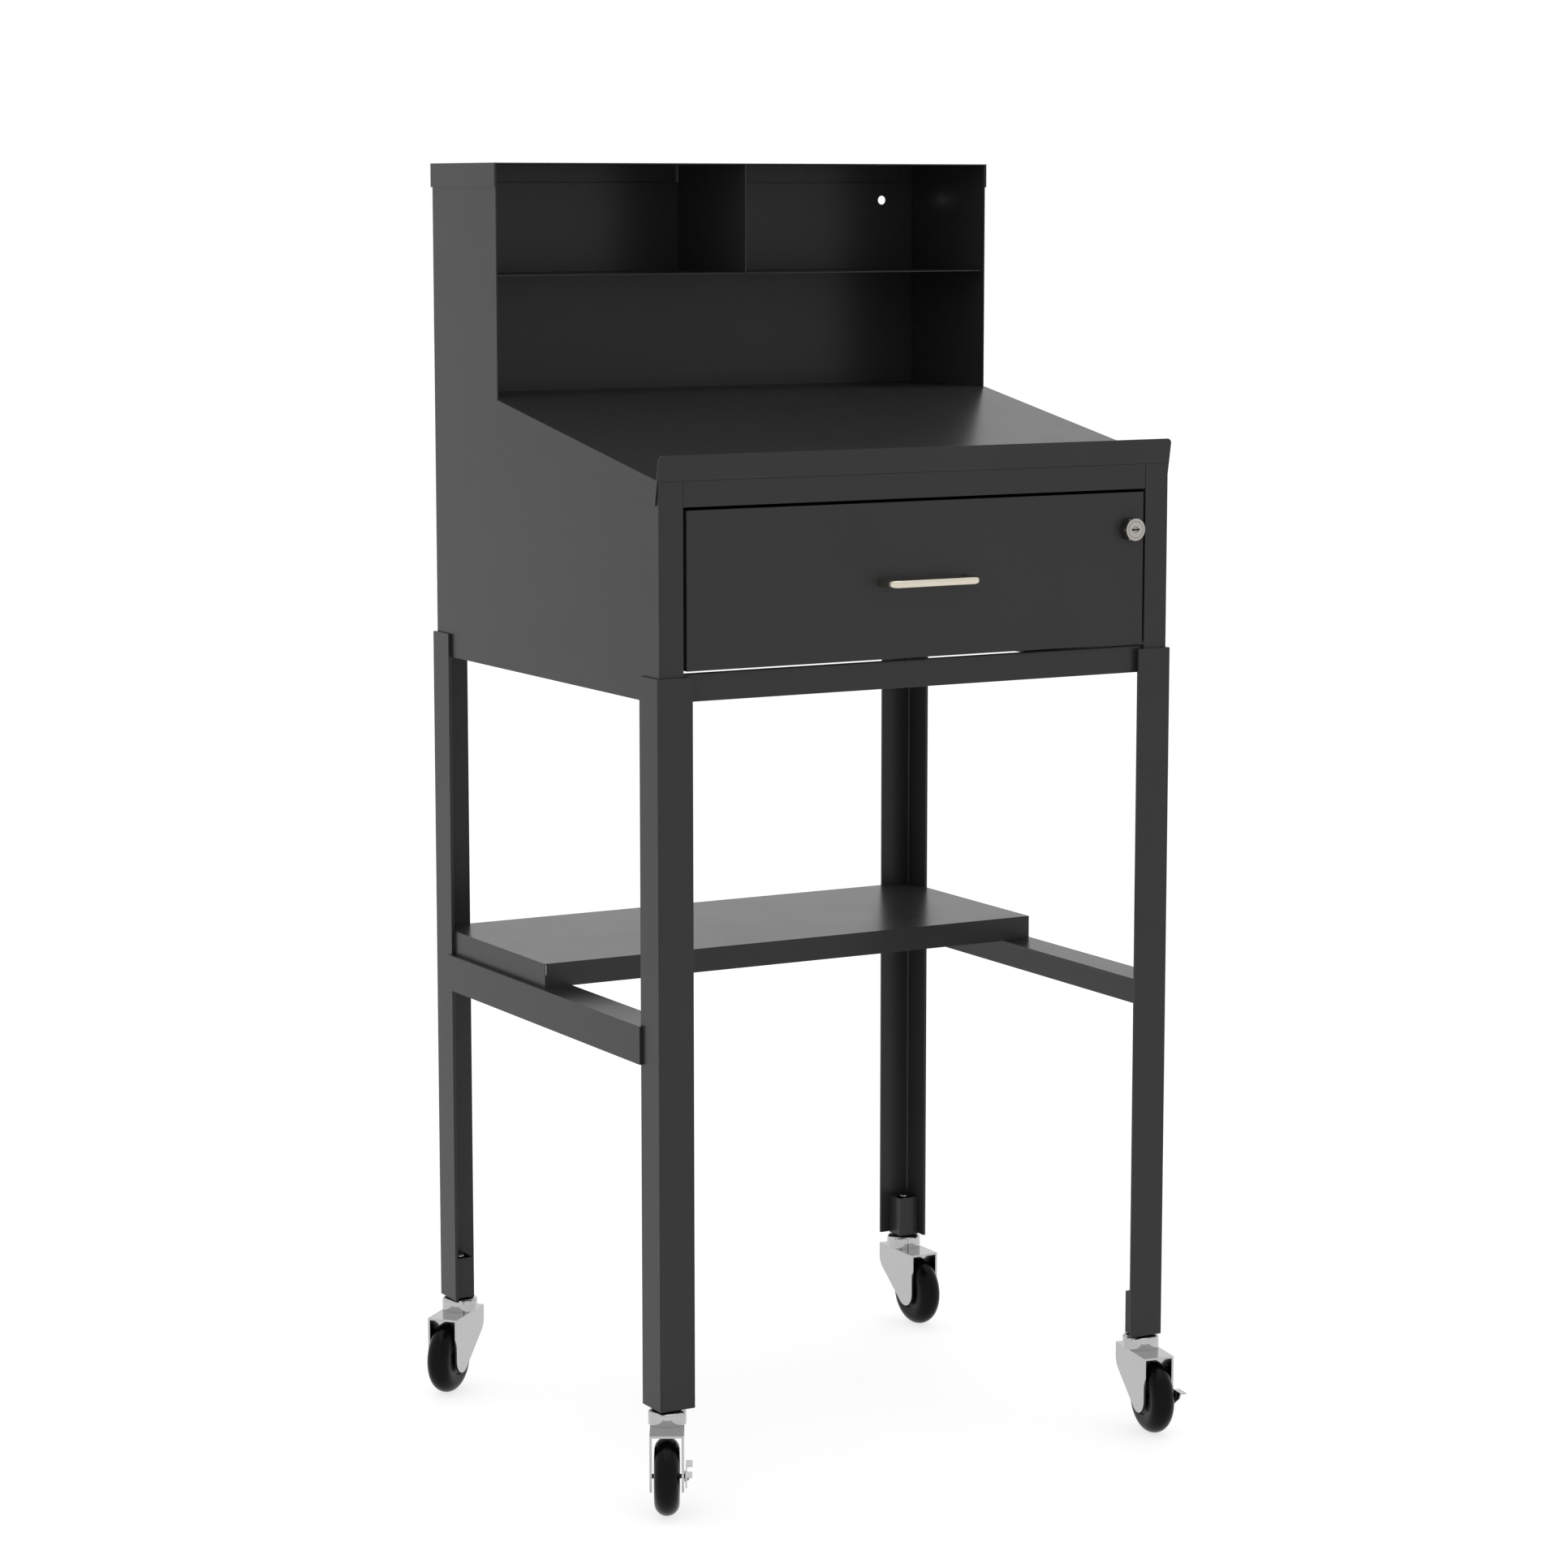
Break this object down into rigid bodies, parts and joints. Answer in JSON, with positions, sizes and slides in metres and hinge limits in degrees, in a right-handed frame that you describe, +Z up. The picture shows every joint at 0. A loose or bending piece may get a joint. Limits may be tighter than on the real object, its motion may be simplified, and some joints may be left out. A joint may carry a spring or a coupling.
{
  "type": "mobile lectern desk",
  "caption": "Standing steel lectern desk on casters: sloped top with a paper lip, cubbies under a hood, a locking drawer and a lower shelf.",
  "frame": {"origin": "on the floor, under the middle of the cabinet in plan", "axes": "+Z up, -Y towards the standing user (the drawer side), +X to the user's right"},
  "size_m": [0.6656, 0.6062, 1.3673],
  "materials": {
    "charcoal_powder_coat": "semi-gloss fine-texture powder coat",
    "zinc_plate": "bright zinc plate",
    "slide_steel": "rolled and zinc plated",
    "polished_metal": "warm satin nickel",
    "black_rubber": "satin moulded",
    "blackened_steel": "black oxide"
  },
  "bodies": {
    "stand": {"leg_front_left": "charcoal_powder_coat", "leg_front_right": "charcoal_powder_coat", "leg_rear_left": "charcoal_powder_coat", "leg_rear_right": "charcoal_powder_coat", "caster_socket_front_left": "charcoal_powder_coat", "caster_socket_front_right": "charcoal_powder_coat", "caster_socket_rear_left": "charcoal_powder_coat", "caster_socket_rear_right": "charcoal_powder_coat", "stretcher_left": "charcoal_powder_coat", "stretcher_right": "charcoal_powder_coat", "lower_shelf": "charcoal_powder_coat", "side_panel_left": "charcoal_powder_coat", "side_panel_right": "charcoal_powder_coat", "back_panel": "charcoal_powder_coat", "bottom_rail": "charcoal_powder_coat", "top_rail": "charcoal_powder_coat", "desk_top": "charcoal_powder_coat", "hood": "charcoal_powder_coat", "cubby_shelf": "charcoal_powder_coat", "cubby_divider": "charcoal_powder_coat", "runner_channel_left": "charcoal_powder_coat", "runner_channel_right": "charcoal_powder_coat", "slide_outer_left": "slide_steel", "slide_outer_right": "slide_steel", "caster_stem_front_left": "zinc_plate", "caster_stem_front_right": "zinc_plate", "caster_stem_rear_left": "zinc_plate", "caster_stem_rear_right": "zinc_plate", "caster_cup_front_left": "zinc_plate", "caster_cup_front_right": "zinc_plate", "caster_cup_rear_left": "zinc_plate", "caster_cup_rear_right": "zinc_plate"},
    "drawer": {"drawer_front": "charcoal_powder_coat", "drawer_box": "charcoal_powder_coat", "drawer_handle": "polished_metal", "handle_screw_left": "zinc_plate", "handle_screw_right": "zinc_plate", "lock_housing": "polished_metal", "lock_nut": "polished_metal", "slide_inner_left": "slide_steel", "slide_inner_right": "slide_steel"},
    "slide_carrier_left": {"slide_middle_left": "slide_steel"},
    "slide_carrier_right": {"slide_middle_right": "slide_steel"},
    "lock_barrel": {"lock_plug": "polished_metal", "lock_cam": "zinc_plate"},
    "swivel_front_left": {"caster_fork_front_left": "zinc_plate", "caster_axle_front_left": "blackened_steel"},
    "wheel_front_left": {"caster_wheel_front_left": "black_rubber"},
    "brake_front_left": {"brake_lever_front_left": "zinc_plate"},
    "swivel_front_right": {"caster_fork_front_right": "zinc_plate", "caster_axle_front_right": "blackened_steel"},
    "wheel_front_right": {"caster_wheel_front_right": "black_rubber"},
    "brake_front_right": {"brake_lever_front_right": "zinc_plate"},
    "swivel_rear_left": {"caster_fork_rear_left": "zinc_plate", "caster_axle_rear_left": "blackened_steel"},
    "wheel_rear_left": {"caster_wheel_rear_left": "black_rubber"},
    "swivel_rear_right": {"caster_fork_rear_right": "zinc_plate", "caster_axle_rear_right": "blackened_steel"},
    "wheel_rear_right": {"caster_wheel_rear_right": "black_rubber"}
  },
  "joints": [
    {"name": "drawer_travel", "type": "slide", "parent": "stand", "child": "drawer", "axis": [0, -1, 0], "range_m": [0, 0.4]},
    {"name": "slide_carrier_left_travel", "type": "slide", "parent": "stand", "child": "slide_carrier_left", "axis": [0, -1, 0], "range_m": [0, 0.2]},
    {"name": "slide_carrier_right_travel", "type": "slide", "parent": "stand", "child": "slide_carrier_right", "axis": [0, -1, 0], "range_m": [0, 0.2]},
    {"name": "lock_turn", "type": "hinge", "parent": "drawer", "child": "lock_barrel", "pos_m": [0.257, -0.2503, 0.984], "axis": [0, 1, 0], "range_deg": [0, 90]},
    {"name": "swivel_front_left_turn", "type": "hinge", "parent": "stand", "child": "swivel_front_left", "pos_m": [-0.292, -0.2523, 0.087], "axis": [0, 0, 1], "continuous": true},
    {"name": "wheel_front_left_roll", "type": "hinge", "parent": "swivel_front_left", "child": "wheel_front_left", "pos_m": [-0.30717, -0.28025, 0.04], "axis": [0.8788, -0.4772, 0], "continuous": true},
    {"name": "brake_front_left_press", "type": "hinge", "parent": "swivel_front_left", "child": "brake_front_left", "pos_m": [-0.28982, -0.28967, 0.04], "axis": [0.8788, -0.4772, 0], "range_deg": [0, 12]},
    {"name": "swivel_front_right_turn", "type": "hinge", "parent": "stand", "child": "swivel_front_right", "pos_m": [0.292, -0.2523, 0.087], "axis": [0, 0, 1], "continuous": true},
    {"name": "wheel_front_right_roll", "type": "hinge", "parent": "swivel_front_right", "child": "wheel_front_right", "pos_m": [0.28653, -0.28363, 0.04], "axis": [0.9851, -0.1719, 0], "continuous": true},
    {"name": "brake_front_right_press", "type": "hinge", "parent": "swivel_front_right", "child": "brake_front_right", "pos_m": [0.30599, -0.28702, 0.04], "axis": [0.9851, -0.1719, 0], "range_deg": [0, 12]},
    {"name": "swivel_rear_left_turn", "type": "hinge", "parent": "stand", "child": "swivel_rear_left", "pos_m": [-0.292, 0.2523, 0.087], "axis": [0, 0, 1], "continuous": true},
    {"name": "wheel_rear_left_roll", "type": "hinge", "parent": "swivel_rear_left", "child": "wheel_rear_left", "pos_m": [-0.31596, 0.23139, 0.04], "axis": [0.6574, -0.7536, 0], "continuous": true},
    {"name": "swivel_rear_right_turn", "type": "hinge", "parent": "stand", "child": "swivel_rear_right", "pos_m": [0.292, 0.2523, 0.087], "axis": [0, 0, 1], "continuous": true},
    {"name": "wheel_rear_right_roll", "type": "hinge", "parent": "swivel_rear_right", "child": "wheel_rear_right", "pos_m": [0.29189, 0.2205, 0.04], "axis": [1, -0.0035, 0], "continuous": true}
  ],
  "couplings": [
    {"joint": "slide_carrier_left_travel", "follows": "drawer_travel", "ratio": 0.5},
    {"joint": "slide_carrier_right_travel", "follows": "drawer_travel", "ratio": 0.5}
  ]
}
